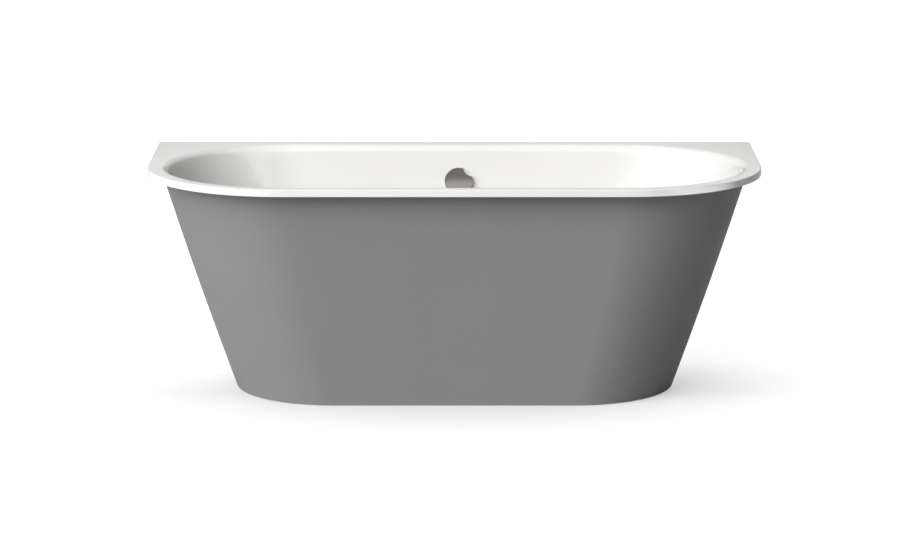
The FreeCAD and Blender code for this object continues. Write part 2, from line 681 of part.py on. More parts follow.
def drain_flange():
    flange = at_drain(DRAIN_FLANGE_RADIUS, DRAIN_FLANGE_Z, DRAIN_FLANGE_TOP)
    tail = at_drain(DRAIN_TAIL_RADIUS, DRAIN_FLANGE_Z - DRAIN_TAIL_LENGTH, DRAIN_FLANGE_TOP)
    bore = DRAIN_TAIL_RADIUS - DRAIN_TAIL_WALL
    bottom = DRAIN_FLANGE_Z - DRAIN_TAIL_LENGTH
    piece = join(flange, tail).cut(at_drain(bore, bottom, DRAIN_FLANGE_TOP))
    hub = at_drain(SPIDER_HUB_RADIUS, bottom, bottom + SPIDER_HEIGHT)
    arms = []
    for i in range(SPIDER_ARMS):
        arm = box(0, bore + DRAIN_TAIL_WALL / 2, -SPIDER_ARM / 2, SPIDER_ARM / 2,
                  bottom, bottom + SPIDER_HEIGHT)
        arm.rotate(Vector(0, 0, 0), UP, 360 * i / SPIDER_ARMS)
        arms.append(arm.translated(Vector(WASTE_X, DRAIN_Y, 0)))
    return join(piece, hub, *arms).cut(at_drain(STEM_BORE, bottom, bottom + SPIDER_HEIGHT))


def drain_top_gasket():
    inner = DRAIN_HOLE_RADIUS + DRAIN_GASKET_CLEARANCE
    return ring(DRAIN_FLANGE_RADIUS, inner, DRAIN_SEAT_Z, DRAIN_FLANGE_Z, WASTE_X, DRAIN_Y)


def drain_bottom_gasket():
    inner = DRAIN_HOLE_RADIUS + DRAIN_GASKET_CLEARANCE
    outer = DRAIN_BODY_RADIUS + DRAIN_BODY_LEDGE - DRAIN_GASKET_CLEARANCE
    return ring(outer, inner, DRAIN_BODY_TOP, DRAIN_UNDERSIDE_Z, WASTE_X, DRAIN_Y)


def drain_body():
    """Cup with the overflow's inlet to the wall, the cable port to +X and the spigot below."""
    centre = Vector(WASTE_X, DRAIN_Y, INLET_Z)
    mouth = Vector(WASTE_X, INLET_MOUTH_Y, INLET_Z)
    shoulder = mouth - TO_WALL * SOCKET_DEPTH
    port_start = Vector(WASTE_X, DRAIN_Y, LEVER_PORT_Z)
    port_mouth = port_start + Vector(DRAIN_BODY_RADIUS + PORT_LENGTH, 0, 0)
    port_seat = port_mouth - Vector(PORT_SEAT, 0, 0)
    solid = join(at_drain(DRAIN_BODY_RADIUS, DRAIN_BODY_BOTTOM, DRAIN_BODY_TOP),
                 at_drain(DRAIN_BODY_RADIUS + DRAIN_BODY_LEDGE,
                          DRAIN_BODY_TOP - DRAIN_BODY_FLANGE, DRAIN_BODY_TOP),
                 at_drain(OUTLET_RADIUS, SPIGOT_BOTTOM, DRAIN_CHAMBER_Z),
                 rod(socket_radius(OVERFLOW_PIPE_RADIUS), centre, mouth),
                 rod(SHEATH_RADIUS + CABLE_FIT + PORT_WALL, port_start, port_mouth))
    hollows = [at_drain(DRAIN_CHAMBER_RADIUS, DRAIN_CHAMBER_Z, DRAIN_THROAT_Z),
               at_drain(DRAIN_TAIL_RADIUS + THREAD_CLEARANCE, DRAIN_THROAT_Z, DRAIN_BODY_TOP),
               at_drain(OUTLET_RADIUS - PIPE_WALL, SPIGOT_BOTTOM, DRAIN_CHAMBER_Z),
               rod(OVERFLOW_PIPE_RADIUS - PIPE_WALL, centre, shoulder),
               rod(OVERFLOW_PIPE_RADIUS + PIPE_FIT, shoulder, mouth),
               rod(WIRE_RADIUS + WIRE_CLEARANCE, port_start, port_seat),
               rod(SHEATH_RADIUS + CABLE_FIT, port_seat, port_mouth),
               lever_pin_rod(LEVER_PIN_RADIUS + PIN_CLEARANCE)]
    return solid.cut(hollows)


def lever_pin_rod(radius):
    chord = math.sqrt(DRAIN_CHAMBER_RADIUS ** 2 - (LEVER_X - WASTE_X) ** 2)
    reach = TO_WALL * (chord + LEVER_PIN_GRIP)
    centre = Vector(LEVER_X, DRAIN_Y, LEVER_Z)
    return rod(radius, centre - reach, centre + reach)


def lift_lever():
    """Bell crank: one arm under the plug's stem, one arm up to the cable, drawn at rest."""
    half = TO_WALL * (LEVER_WIDTH / 2)
    pivot = Vector(LEVER_X, DRAIN_Y, LEVER_Z)
    tip = pivot - Vector(LEVER_ARM, 0, 0)
    top = pivot + Vector(0, 0, LEVER_RISE)
    lift_bar = box(tip.x, pivot.x, pivot.y - half.y, pivot.y + half.y,
                   pivot.z - LEVER_BAR / 2, pivot.z + LEVER_BAR / 2)
    cable_bar = box(pivot.x - LEVER_BAR / 2, pivot.x + LEVER_BAR / 2, pivot.y - half.y, pivot.y + half.y,
                    pivot.z, top.z)
    lever = join(lift_bar, cable_bar, rod(LEVER_TIP_RADIUS, tip - half, tip + half),
                 rod(LEVER_TIP_RADIUS, top - half, top + half),
                 rod(LEVER_HUB_RADIUS, pivot - half, pivot + half))
    lever = lever.cut(rod(LEVER_PIN_RADIUS + RUNNING_CLEARANCE, pivot - half, pivot + half))
    lever = lever.cut(rod(LEVER_EYE_RADIUS, top - half, top + half))
    lever.rotate(pivot, TO_WALL, -LEVER_HALF_ANGLE)
    return lever


def plug_cap():
    edge = at_drain(PLUG_RADIUS, PLUG_Z, PLUG_Z + PLUG_EDGE)
    sphere_radius = (PLUG_RADIUS ** 2 + PLUG_CROWN ** 2) / (2 * PLUG_CROWN)
    top = PLUG_Z + PLUG_EDGE + PLUG_CROWN
    crown = Part.makeSphere(sphere_radius, Vector(WASTE_X, DRAIN_Y, top - sphere_radius))
    crown = crown.common(at_drain(PLUG_RADIUS, PLUG_Z + PLUG_EDGE, top))
    return join(edge, crown).cut(at_drain(PLUG_STEM_RADIUS, PLUG_Z, PLUG_Z + PLUG_STEM_SEAT))


def plug_stem():
    """Round-ended stem that stands on the lever."""
    centre = STEM_BOTTOM + PLUG_STEM_RADIUS
    nose = Part.makeSphere(PLUG_STEM_RADIUS, Vector(WASTE_X, DRAIN_Y, centre))
    return join(at_drain(PLUG_STEM_RADIUS, centre, PLUG_Z + PLUG_STEM_SEAT), nose)


def plug_seal():
    inner = DRAIN_TAIL_RADIUS
    return ring(inner + PLUG_SEAL_WIDTH, inner, PLUG_Z - PLUG_SEAL, PLUG_Z, WASTE_X, DRAIN_Y)


# Trap and outlet

TRAP_LOW_Z = SPIGOT_BOTTOM - TRAP_DROP - TRAP_BEND
OUTLET_X = WASTE_X - TRAP_SPAN
OUTLET_Z = TRAP_LOW_Z + 2 * (OUTLET_RADIUS - PIPE_WALL) + TRAP_SEAL_DEPTH
TRAP_END_Y = DRAIN_Y + TRAP_ELBOW + TRAP_SOCKET_LEAD
OUTLET_MOUTH_Y = TRAP_END_Y + SOCKET_DEPTH
OUTLET_END_Y = WIDTH / 2 - OUTLET_WALL_GAP
CLEANOUT_X = (WASTE_X + OUTLET_X) / 2
CLEANOUT_BOTTOM = TRAP_LOW_Z - OUTLET_RADIUS - CLEANOUT_BOSS


def trap_bend():
    inlet = Vector(WASTE_X, DRAIN_Y, TRAP_MOUTH_Z)
    inlet_seat = Vector(WASTE_X, DRAIN_Y, SPIGOT_BOTTOM)
    outlet_seat = Vector(OUTLET_X, TRAP_END_Y, OUTLET_Z)
    outlet = Vector(OUTLET_X, OUTLET_MOUTH_Y, OUTLET_Z)
    corners = [Vector(WASTE_X, DRAIN_Y, TRAP_LOW_Z), Vector(OUTLET_X, DRAIN_Y, TRAP_LOW_Z),
               Vector(OUTLET_X, DRAIN_Y, OUTLET_Z)]
    path = bent_path([inlet_seat] + corners + [outlet_seat], [TRAP_BEND, TRAP_BEND, TRAP_ELBOW])
    boss = CLEANOUT_RADIUS + CLEANOUT_WALL
    solid = join(swept(path, OUTLET_RADIUS),
                 rod(socket_radius(OUTLET_RADIUS), inlet_seat + DOWN * SOCKET_WALL, inlet),
                 rod(socket_radius(OUTLET_RADIUS), outlet_seat - TO_WALL * SOCKET_WALL, outlet),
                 upright(boss, CLEANOUT_BOTTOM, TRAP_LOW_Z, CLEANOUT_X, DRAIN_Y))
    hollows = [swept(path, OUTLET_RADIUS - PIPE_WALL), rod(OUTLET_RADIUS + PIPE_FIT, inlet_seat, inlet),
               rod(OUTLET_RADIUS + PIPE_FIT, outlet_seat, outlet),
               upright(CLEANOUT_RADIUS, CLEANOUT_BOTTOM, TRAP_LOW_Z, CLEANOUT_X, DRAIN_Y)]
    return solid.cut(hollows)


def trap_cleanout_seal():
    top = CLEANOUT_BOTTOM
    outer = CLEANOUT_RADIUS + CLEANOUT_WALL
    return ring(outer, CLEANOUT_RADIUS, top - CLEANOUT_SEAL, top, CLEANOUT_X, DRAIN_Y)


def trap_cleanout_cap():
    top = CLEANOUT_BOTTOM - CLEANOUT_SEAL
    radius = CLEANOUT_RADIUS + CLEANOUT_WALL + CLEANOUT_CAP_LIP
    bottom = top - CLEANOUT_CAP
    flange = upright(radius, bottom, top, CLEANOUT_X, DRAIN_Y)
    plug = upright(CLEANOUT_RADIUS - THREAD_CLEARANCE, bottom, CLEANOUT_BOTTOM + CLEANOUT_BOSS,
                   CLEANOUT_X, DRAIN_Y)
    slot = box(CLEANOUT_X - radius, CLEANOUT_X + radius, DRAIN_Y - CLEANOUT_SLOT / 2,
               DRAIN_Y + CLEANOUT_SLOT / 2, bottom, bottom + CLEANOUT_SLOT_DEPTH)
    return join(flange, plug).cut(slot)


def outlet_pipe():
    """Straight pipe whose bead marks how far its free end goes into the drain in the wall."""
    start = Vector(OUTLET_X, TRAP_END_Y, OUTLET_Z)
    end = Vector(OUTLET_X, OUTLET_END_Y, OUTLET_Z)
    bead_end = end - TO_WALL * SPIGOT_LENGTH
    bead = rod(OUTLET_RADIUS + BEAD_HEIGHT, bead_end - TO_WALL * BEAD_WIDTH, bead_end)
    return join(rod(OUTLET_RADIUS, start, end), bead).cut(rod(OUTLET_RADIUS - PIPE_WALL, start, end))


# Overflow, in the frame of the back wall

GASKET_BACK = -SHEET - OVERFLOW_GASKET
GASKET_RADIUS = OVERFLOW_HOLE_RADIUS + OVERFLOW_GASKET_WIDTH
ELBOW_BACK = GASKET_BACK - ELBOW_DEPTH
ELBOW_BORE = OVERFLOW_HOLE_RADIUS + DRAIN_GASKET_CLEARANCE
ELBOW_RADIUS = ELBOW_BORE + ELBOW_WALL
ELBOW_CENTRE = OVERFLOW_FRAME.multVec(Vector(0, 0, GASKET_BACK - ELBOW_DEPTH / 2))
OVERFLOW_MOUTH_Z = ELBOW_CENTRE.z - ELBOW_RADIUS - SOCKET_DEPTH - ELBOW_WALL
OVERFLOW_MOUTH = Vector(WASTE_X, ELBOW_CENTRE.y, OVERFLOW_MOUTH_Z)
SCREW_CIRCLE = OVERFLOW_HOLE_RADIUS - RETAINER_SCREW_RADIUS - DRAIN_GASKET_CLEARANCE
KNOB_FRONT_EDGE = KNOB_STANDOFF + KNOB_EDGE
SPINDLE_BORE = KNOB_SPINDLE_RADIUS + RUNNING_CLEARANCE
SPINDLE_FRONT = KNOB_STANDOFF + KNOB_SPINDLE_SEAT
SPINDLE_BACK = ELBOW_BACK + ELBOW_WALL + RUNNING_CLEARANCE
CRANK_FRONT = GASKET_BACK - CRANK_SETBACK
PORT_DIRECTION = Vector(math.cos(math.radians(PORT_ANGLE)), math.sin(math.radians(PORT_ANGLE)), 0)
CABLE_TRAVEL = 2 * LEVER_RISE * math.sin(math.radians(LEVER_HALF_ANGLE))
CABLE_OFFSET = CABLE_TRAVEL / math.radians(KNOB_TURN)
DRUM_RADIUS = CABLE_OFFSET - WIRE_RADIUS - WIRE_CLEARANCE
PORT_TANGENT = Vector(-PORT_DIRECTION.y, PORT_DIRECTION.x, 0) * CABLE_OFFSET
PORT_TANGENT += UP * (CRANK_FRONT - CRANK_THICKNESS / 2)
PORT_MOUTH = PORT_TANGENT + PORT_DIRECTION * (ELBOW_RADIUS + PORT_LENGTH)
SHEATH_START = PORT_MOUTH - PORT_DIRECTION * PORT_SEAT


def overflow_gasket():
    return on_wall(ring(GASKET_RADIUS, OVERFLOW_HOLE_RADIUS, GASKET_BACK, -SHEET))


def screw_places():
    return [(-SCREW_CIRCLE, 0), (SCREW_CIRCLE, 0)]


def overflow_elbow():
    """Cup behind the wall with a flange, screw bosses, a rear bearing, a cable port and a socket."""
    body = join(upright(ELBOW_RADIUS, ELBOW_BACK, GASKET_BACK),
                upright(GASKET_RADIUS, GASKET_BACK - OVERFLOW_FLANGE, GASKET_BACK),
                rod(SHEATH_RADIUS + CABLE_FIT + PORT_WALL, PORT_TANGENT, PORT_MOUTH))
    body = join(on_wall(body), rod(socket_radius(OVERFLOW_PIPE_RADIUS), ELBOW_CENTRE, OVERFLOW_MOUTH))
    body = body.cut(on_wall(upright(ELBOW_BORE, ELBOW_BACK + ELBOW_WALL, 0)))
    shoulder = OVERFLOW_MOUTH + UP * SOCKET_DEPTH
    body = body.cut([rod(OVERFLOW_PIPE_RADIUS - PIPE_WALL, ELBOW_CENTRE, shoulder),
                     rod(OVERFLOW_PIPE_RADIUS + PIPE_FIT, shoulder, OVERFLOW_MOUTH)])
    boss_radius = RETAINER_SCREW_RADIUS + SCREW_BOSS_WALL
    boss_back = GASKET_BACK - SCREW_BOSS_DEPTH
    bosses = [upright(boss_radius, boss_back, GASKET_BACK, x, y) for x, y in screw_places()]
    boss_reach = upright(ELBOW_RADIUS, ELBOW_BACK, GASKET_BACK)
    bearing = upright(SPINDLE_BORE + BEARING_WALL, ELBOW_BACK, ELBOW_BACK + ELBOW_WALL + BEARING_LENGTH)
    body = join(body, *[on_wall(boss.common(boss_reach)) for boss in bosses], on_wall(bearing))
    screw_hole = RETAINER_SCREW_RADIUS + THREAD_CLEARANCE
    holes = [upright(screw_hole, boss_back, GASKET_BACK, x, y) for x, y in screw_places()]
    holes += [upright(SPINDLE_BORE, ELBOW_BACK + ELBOW_WALL, ELBOW_BACK + ELBOW_WALL + BEARING_LENGTH),
              rod(WIRE_RADIUS + WIRE_CLEARANCE, PORT_TANGENT, SHEATH_START),
              rod(SHEATH_RADIUS + CABLE_FIT, SHEATH_START, PORT_MOUTH)]
    return body.cut([on_wall(hole) for hole in holes])


def overflow_retainer():
    """Spoked ring that clamps the elbow to the wall and guides the knob's spindle."""
    disc = upright(OVERFLOW_HOLE_RADIUS + RETAINER_OVERLAP, 0, RETAINER_THICKNESS)
    disc = disc.cut(upright(SPINDLE_BORE, 0, RETAINER_THICKNESS))
    circle = RETAINER_HUB_RADIUS + RETAINER_PORT_RADIUS
    for i in range(RETAINER_PORTS):
        angle = 2 * math.pi * (i + 0.5) / RETAINER_PORTS
        disc = disc.cut(upright(RETAINER_PORT_RADIUS, 0, RETAINER_THICKNESS,
                                circle * math.cos(angle), circle * math.sin(angle)))
    for x, y in screw_places():
        disc = disc.cut(upright(RETAINER_SCREW_RADIUS + THREAD_CLEARANCE, 0, RETAINER_THICKNESS, x, y))
    return on_wall(disc)


def overflow_screws():
    screws = []
    seat = RETAINER_THICKNESS
    tip = seat - RETAINER_SCREW_LENGTH
    for x, y in screw_places():
        head = upright(RETAINER_SCREW_HEAD_RADIUS, seat, seat + RETAINER_SCREW_HEAD, x, y)
        screws.append(on_wall(join(head, upright(RETAINER_SCREW_RADIUS, tip, seat, x, y))))
    return Part.makeCompound(screws)


def overflow_knob():
    """Crowned disc with a finger notch, on a hub that takes the spindle."""
    sphere_radius = (KNOB_RADIUS ** 2 + KNOB_CROWN ** 2) / (2 * KNOB_CROWN)
    top = KNOB_FRONT_EDGE + KNOB_CROWN
    dome = Part.makeSphere(sphere_radius, Vector(0, 0, top - sphere_radius))
    disc = upright(KNOB_RADIUS, KNOB_STANDOFF, top).common(dome)
    centre = KNOB_RADIUS - NOTCH_DEPTH + NOTCH_RADIUS
    angle = math.radians(NOTCH_ANGLE)
    disc = disc.cut(upright(NOTCH_RADIUS, KNOB_STANDOFF, top,
                            centre * math.cos(angle), centre * math.sin(angle)))
    front = [edge for edge in disc.Edges if edge.BoundBox.ZMin > KNOB_STANDOFF + KNOB_EDGE / 2]
    disc = disc.makeFillet(KNOB_EDGE_RADIUS, front)
    hub = upright(KNOB_HUB_RADIUS, RETAINER_THICKNESS + KNOB_HUB_GAP, KNOB_STANDOFF)
    bore = upright(KNOB_SPINDLE_RADIUS, RETAINER_THICKNESS + KNOB_HUB_GAP, SPINDLE_FRONT)
    return on_wall(join(disc, hub).cut(bore))


def knob_spindle():
    return on_wall(upright(KNOB_SPINDLE_RADIUS, SPINDLE_BACK, SPINDLE_FRONT))


def cable_crank():
    """Small drum with two cheeks; a turn of the knob winds in as much wire as the lever needs."""
    back = CRANK_FRONT - CRANK_THICKNESS
    drum = join(upright(DRUM_RADIUS, back, CRANK_FRONT), upright(CRANK_RADIUS, back, back + CRANK_CHEEK),
                upright(CRANK_RADIUS, CRANK_FRONT - CRANK_CHEEK, CRANK_FRONT))
    return on_wall(drum.cut(upright(KNOB_SPINDLE_RADIUS, back, CRANK_FRONT)))


def overflow_pipe():
    top = OVERFLOW_MOUTH + UP * SOCKET_DEPTH
    corner = Vector(WASTE_X, OVERFLOW_MOUTH.y, INLET_Z)
    end = Vector(WASTE_X, INLET_MOUTH_Y - SOCKET_DEPTH, INLET_Z)
    path = bent_path([top, corner, end], [OVERFLOW_PIPE_BEND])
    return swept(path, OVERFLOW_PIPE_RADIUS).cut(swept(path, OVERFLOW_PIPE_RADIUS - PIPE_WALL))


# Bowden cable, held by its two ports and by clips on the overflow pipe

def cable_corners():
    run = PORT_TANGENT + PORT_DIRECTION * ((CABLE_RUN_X - PORT_TANGENT.x) / PORT_DIRECTION.x)
    run = OVERFLOW_FRAME.multVec(run)
    low = Vector(run.x, run.y, LEVER_PORT_Z)
    turn = Vector(WASTE_X + CABLE_TURN_X, DRAIN_Y, LEVER_PORT_Z)
    return [run, low, turn]


def cable_path(start, end_x):
    """From a point at the overflow, given in the frame of the wall, to an X at the drain."""
    end = Vector(end_x, DRAIN_Y, LEVER_PORT_Z)
    points = [OVERFLOW_FRAME.multVec(start)] + cable_corners() + [end]
    return bent_path(points, [CABLE_TOP_BEND, CABLE_LOW_BEND, CABLE_END_BEND])


def bowden_sheath():
    path = cable_path(SHEATH_START, WASTE_X + DRAIN_BODY_RADIUS + PORT_LENGTH - PORT_SEAT)
    return swept(path, SHEATH_RADIUS).cut(swept(path, WIRE_RADIUS + WIRE_CLEARANCE))


def bowden_wire():
    """Runs from the drum to where the lever's eye is when the plug is up."""
    path = cable_path(PORT_TANGENT, LEVER_X + CABLE_TRAVEL / 2 + LEVER_TIP_RADIUS + LEVER_GAP)
    return swept(path, WIRE_RADIUS)


def cable_clips():
    """Plates that hold the cable's straight run beside the overflow pipe."""
    run = cable_corners()[0]
    pipe_bore = OVERFLOW_PIPE_RADIUS + CABLE_FIT
    cable_bore = SHEATH_RADIUS + CABLE_FIT
    first = OVERFLOW_MOUTH_Z - SLIP_SEAL - SLIP_NUT_SHOULDER - CLIP_FIRST_DROP
    clips = []
    for i in range(CLIP_COUNT):
        top = first - i * CLIP_SPACING
        bottom = top - CLIP_THICKNESS
        arm_half = cable_bore + CLIP_WALL
        arm = box(WASTE_X, run.x, run.y - arm_half, run.y + arm_half, bottom, top)
        clip = join(arm, upright(pipe_bore + CLIP_WALL, bottom, top, WASTE_X, OVERFLOW_MOUTH.y),
                    upright(arm_half, bottom, top, run.x, run.y))
        clips.append(clip.cut([upright(pipe_bore, bottom, top, WASTE_X, OVERFLOW_MOUTH.y),
                               upright(cable_bore, bottom, top, run.x, run.y)]))
    return Part.makeCompound(clips)


# All the pieces

nodes = {
    "bath_shell": bath_shell(),
    "sound_mats_front": sound_mats(-1),
    "sound_mats_back": sound_mats(1),
    "apron_panel": apron_panel(),
    "apron_seal": apron_seal(),
    "rail_left": mirrored(rail()),
    "rail_right": rail(),
    "rail_pad_left": mirrored(rail_pad()),
    "rail_pad_right": rail_pad(),
    "foot_nuts": foot_nuts(),
    "apron_stay_left": mirrored(apron_stay()),
    "apron_stay_right": apron_stay(),
    "apron_stay_bolts": stay_bolts(),
    "apron_stay_nuts": stay_nuts(),
    "apron_studs": apron_studs(),
    "wall_anchor_left": mirrored(wall_anchor()),
    "wall_anchor_right": wall_anchor(),
    "wall_anchor_pads": pair(wall_anchor_pad()),
    "drain_flange": drain_flange(),
    "drain_top_gasket": drain_top_gasket(),
    "drain_bottom_gasket": drain_bottom_gasket(),
    "drain_body": drain_body(),
    "lever_pin": lever_pin_rod(LEVER_PIN_RADIUS),
    "lift_lever": lift_lever(),
    "plug_cap": plug_cap(),
    "plug_stem": plug_stem(),
    "plug_seal": plug_seal(),
    "trap_bend": trap_bend(),
    "trap_inlet_nut": facing(slip_nut(OUTLET_RADIUS), Vector(WASTE_X, DRAIN_Y, TRAP_MOUTH_Z), UP),
    "trap_inlet_seal": facing(slip_seal(OUTLET_RADIUS), Vector(WASTE_X, DRAIN_Y, TRAP_MOUTH_Z), UP),
    "trap_cleanout_cap": trap_cleanout_cap(),
    "trap_cleanout_seal": trap_cleanout_seal(),
    "outlet_pipe": outlet_pipe(),
    "outlet_nut": facing(slip_nut(OUTLET_RADIUS), Vector(OUTLET_X, OUTLET_MOUTH_Y, OUTLET_Z), TO_WALL),
    "outlet_seal": facing(slip_seal(OUTLET_RADIUS), Vector(OUTLET_X, OUTLET_MOUTH_Y, OUTLET_Z), TO_WALL),
    "overflow_gasket": overflow_gasket(),
    "overflow_elbow": overflow_elbow(),
    "overflow_retainer": overflow_retainer(),
    "overflow_screws": overflow_screws(),
    "overflow_knob": overflow_knob(),
    "knob_spindle": knob_spindle(),
    "cable_crank": cable_crank(),
    "overflow_pipe": overflow_pipe(),
    "overflow_pipe_nut_top": facing(slip_nut(OVERFLOW_PIPE_RADIUS), OVERFLOW_MOUTH, DOWN),
    "overflow_pipe_seal_top": facing(slip_seal(OVERFLOW_PIPE_RADIUS), OVERFLOW_MOUTH, DOWN),
    "overflow_pipe_nut_bottom": facing(slip_nut(OVERFLOW_PIPE_RADIUS),
                                       Vector(WASTE_X, INLET_MOUTH_Y, INLET_Z), TO_WALL),
    "overflow_pipe_seal_bottom": facing(slip_seal(OVERFLOW_PIPE_RADIUS),
                                        Vector(WASTE_X, INLET_MOUTH_Y, INLET_Z), TO_WALL),
    "bowden_sheath": bowden_sheath(),
    "bowden_wire": bowden_wire(),
    "cable_clips": cable_clips(),
}
for end, x in (("left", -RAIL_X), ("right", RAIL_X)):
    for row, y in (("front", -FOOT_Y), ("back", FOOT_Y)):
        nodes[f"foot_spindle_{row}_{end}"] = foot_spindle(x, y)
        nodes[f"foot_pad_{row}_{end}"] = foot_pad(x, y)

os.makedirs("parts", exist_ok=True)
for name, shape in nodes.items():
    shape.exportStep(f"parts/{name}.step")
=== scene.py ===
import json
import math

import bpy
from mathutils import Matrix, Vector

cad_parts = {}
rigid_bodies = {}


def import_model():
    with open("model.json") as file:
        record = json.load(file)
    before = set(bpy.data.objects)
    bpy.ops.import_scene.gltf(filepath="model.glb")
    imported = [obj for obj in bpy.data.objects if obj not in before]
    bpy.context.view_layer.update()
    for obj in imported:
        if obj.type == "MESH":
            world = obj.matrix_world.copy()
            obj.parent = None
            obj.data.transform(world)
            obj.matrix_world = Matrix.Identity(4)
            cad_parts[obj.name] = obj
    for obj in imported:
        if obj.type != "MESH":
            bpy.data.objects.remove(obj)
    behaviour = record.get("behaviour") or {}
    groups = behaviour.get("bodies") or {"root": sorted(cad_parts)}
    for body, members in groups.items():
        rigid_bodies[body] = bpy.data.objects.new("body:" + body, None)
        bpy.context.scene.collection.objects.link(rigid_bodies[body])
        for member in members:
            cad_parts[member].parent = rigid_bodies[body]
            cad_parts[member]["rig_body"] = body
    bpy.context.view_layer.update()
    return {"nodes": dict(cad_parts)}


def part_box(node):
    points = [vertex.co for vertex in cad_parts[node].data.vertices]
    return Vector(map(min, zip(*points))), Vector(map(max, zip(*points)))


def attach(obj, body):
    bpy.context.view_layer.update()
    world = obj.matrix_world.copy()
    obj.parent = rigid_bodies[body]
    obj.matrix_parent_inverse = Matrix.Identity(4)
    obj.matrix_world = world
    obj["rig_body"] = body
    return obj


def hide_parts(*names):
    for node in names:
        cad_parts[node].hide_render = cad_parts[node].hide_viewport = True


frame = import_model()

# Tub
# The tub is pressed from one sheet of steel: a flat rim with a turned-down lip, leaning walls and a flat
# floor. It is enamelled glossy white inside and on the rim and its lip. The rest of the outside, which the
# apron hides, has only the grey speckled ground coat.

RIM_LENGTH = 1.650
RIM_WIDTH = 0.750
RIM_CORNER = 0.375
RIM_TOP = 0.600
# Faces this near to the rim's top, or this near to its outline, are always white.
RIM_SKIN = 0.001
LIP_REACH = 0.010
# What faces away from a line over the middle of the basin is the outside of the tub.
MIDDLE_LINE_END = 0.45
MIDDLE_LINE_RISE = 0.05
# Angles in degrees: edges that stay sharp, and joints between triangles of one flat face.
TUB_CREASE = 35
PLAIN_CREASE = 30
FLAT_ANGLE = 0.3
SAME_POINT = 0.00001
# Most of a noise lies between these values.
PATTERN_LOW = 0.3
PATTERN_HIGH = 0.7


def break_edges(piece, width, crease=PLAIN_CREASE):
    """Rounds off the edges of the active piece that are sharper than an angle in degrees."""
    bpy.ops.object.modifier_add(type="BEVEL")
    broken = piece.modifiers[-1]
    broken.limit_method = "ANGLE"
    broken.angle_limit = math.radians(crease)
    broken.width = width
    broken.segments = 2
    bpy.ops.object.modifier_apply(modifier=broken.name)


def finished_copy(node, edge=0.0, crease=PLAIN_CREASE):
    """A copy of a CAD piece with its triangles joined up, its curves smooth and its flats flat.

    Creases sharper than an angle in degrees stay, broken by an edge of a width in metres.
    """
    bpy.ops.object.select_all(action="DESELECT")
    piece = frame["nodes"][node].copy()
    piece.data = piece.data.copy()
    piece.name = node + "_finished"
    bpy.context.scene.collection.objects.link(piece)
    piece.select_set(True)
    bpy.context.view_layer.objects.active = piece
    if piece.data.has_custom_normals:
        bpy.ops.mesh.customdata_custom_splitnormals_clear()
    bpy.ops.object.mode_set(mode="EDIT")
    bpy.ops.mesh.select_all(action="SELECT")
    bpy.ops.mesh.remove_doubles(threshold=SAME_POINT)
    if edge:
        bpy.ops.mesh.dissolve_limited(angle_limit=math.radians(FLAT_ANGLE))
    bpy.ops.object.mode_set(mode="OBJECT")
    if edge:
        break_edges(piece, edge, crease)
    bpy.ops.object.shade_smooth_by_angle(angle=math.radians(crease))
    bpy.ops.object.modifier_add(type="WEIGHTED_NORMAL")
    flats = piece.modifiers[-1]
    flats.mode = "FACE_AREA_WITH_ANGLE"
    flats.keep_sharp = True
    bpy.ops.object.modifier_apply(modifier=flats.name)
    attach(piece, frame["nodes"][node]["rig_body"])
    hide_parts(node)
    return piece


def start_finish(name, colour, roughness, metal=0.0):
    finish = bpy.data.materials.new(name)
    finish.use_nodes = True
    shader = finish.node_tree.nodes["Principled BSDF"]
    shader.inputs["Base Color"].default_value = (*colour, 1)
    shader.inputs["Roughness"].default_value = roughness
    shader.inputs["Metallic"].default_value = metal
    return finish


def speckle(finish, scale, detail=3.0, stretch=(1, 1, 1)):
    """Noise fixed to the object, in spots of about 1/scale metres."""
    nodes = finish.node_tree.nodes
    links = finish.node_tree.links
    place = nodes.new("ShaderNodeTexCoord")
    turn = nodes.new("ShaderNodeMapping")
    turn.inputs["Scale"].default_value = stretch
    noise = nodes.new("ShaderNodeTexNoise")
    noise.inputs["Scale"].default_value = scale
    noise.inputs["Detail"].default_value = detail
    links.new(place.outputs["Object"], turn.inputs["Vector"])
    links.new(turn.outputs["Vector"], noise.inputs["Vector"])
    return noise.outputs["Fac"]


def mottle(finish, pattern, first, second, low=0.35, high=0.65):
    """Colour that goes from the first to the second over a pattern."""
    ramp = finish.node_tree.nodes.new("ShaderNodeValToRGB")
    ramp.color_ramp.elements[0].position = low
    ramp.color_ramp.elements[0].color = (*first, 1)
    ramp.color_ramp.elements[1].position = high
    ramp.color_ramp.elements[1].color = (*second, 1)
    finish.node_tree.links.new(pattern, ramp.inputs["Fac"])
    shader = finish.node_tree.nodes["Principled BSDF"]
    finish.node_tree.links.new(ramp.outputs["Color"], shader.inputs["Base Color"])


def graded(tree, value, low, high, first=0.0, second=1.0):
    """A node whose value goes from the first to the second as another value goes from low to high."""
    grade = tree.nodes.new("ShaderNodeMapRange")
    grade.inputs["From Min"].default_value = low
    grade.inputs["From Max"].default_value = high
    grade.inputs["To Min"].default_value = first
    grade.inputs["To Max"].default_value = second
    tree.links.new(value, grade.inputs["Value"])
    return grade


def vary_gloss(finish, pattern, low, high):
    """Roughness that goes from low to high over a pattern."""
    spread = graded(finish.node_tree, pattern, PATTERN_LOW, PATTERN_HIGH, low, high)
    shader = finish.node_tree.nodes["Principled BSDF"]
    finish.node_tree.links.new(spread.outputs["Result"], shader.inputs["Roughness"])


def emboss(finish, pattern, depth):
    """Relief of a depth in metres."""
    shader = finish.node_tree.nodes["Principled BSDF"]
    relief = finish.node_tree.nodes.new("ShaderNodeBump")
    relief.inputs["Distance"].default_value = depth
    relief.inputs["Strength"].default_value = 1.0
    finish.node_tree.links.new(pattern, relief.inputs["Height"])
    finish.node_tree.links.new(relief.outputs["Normal"], shader.inputs["Normal"])


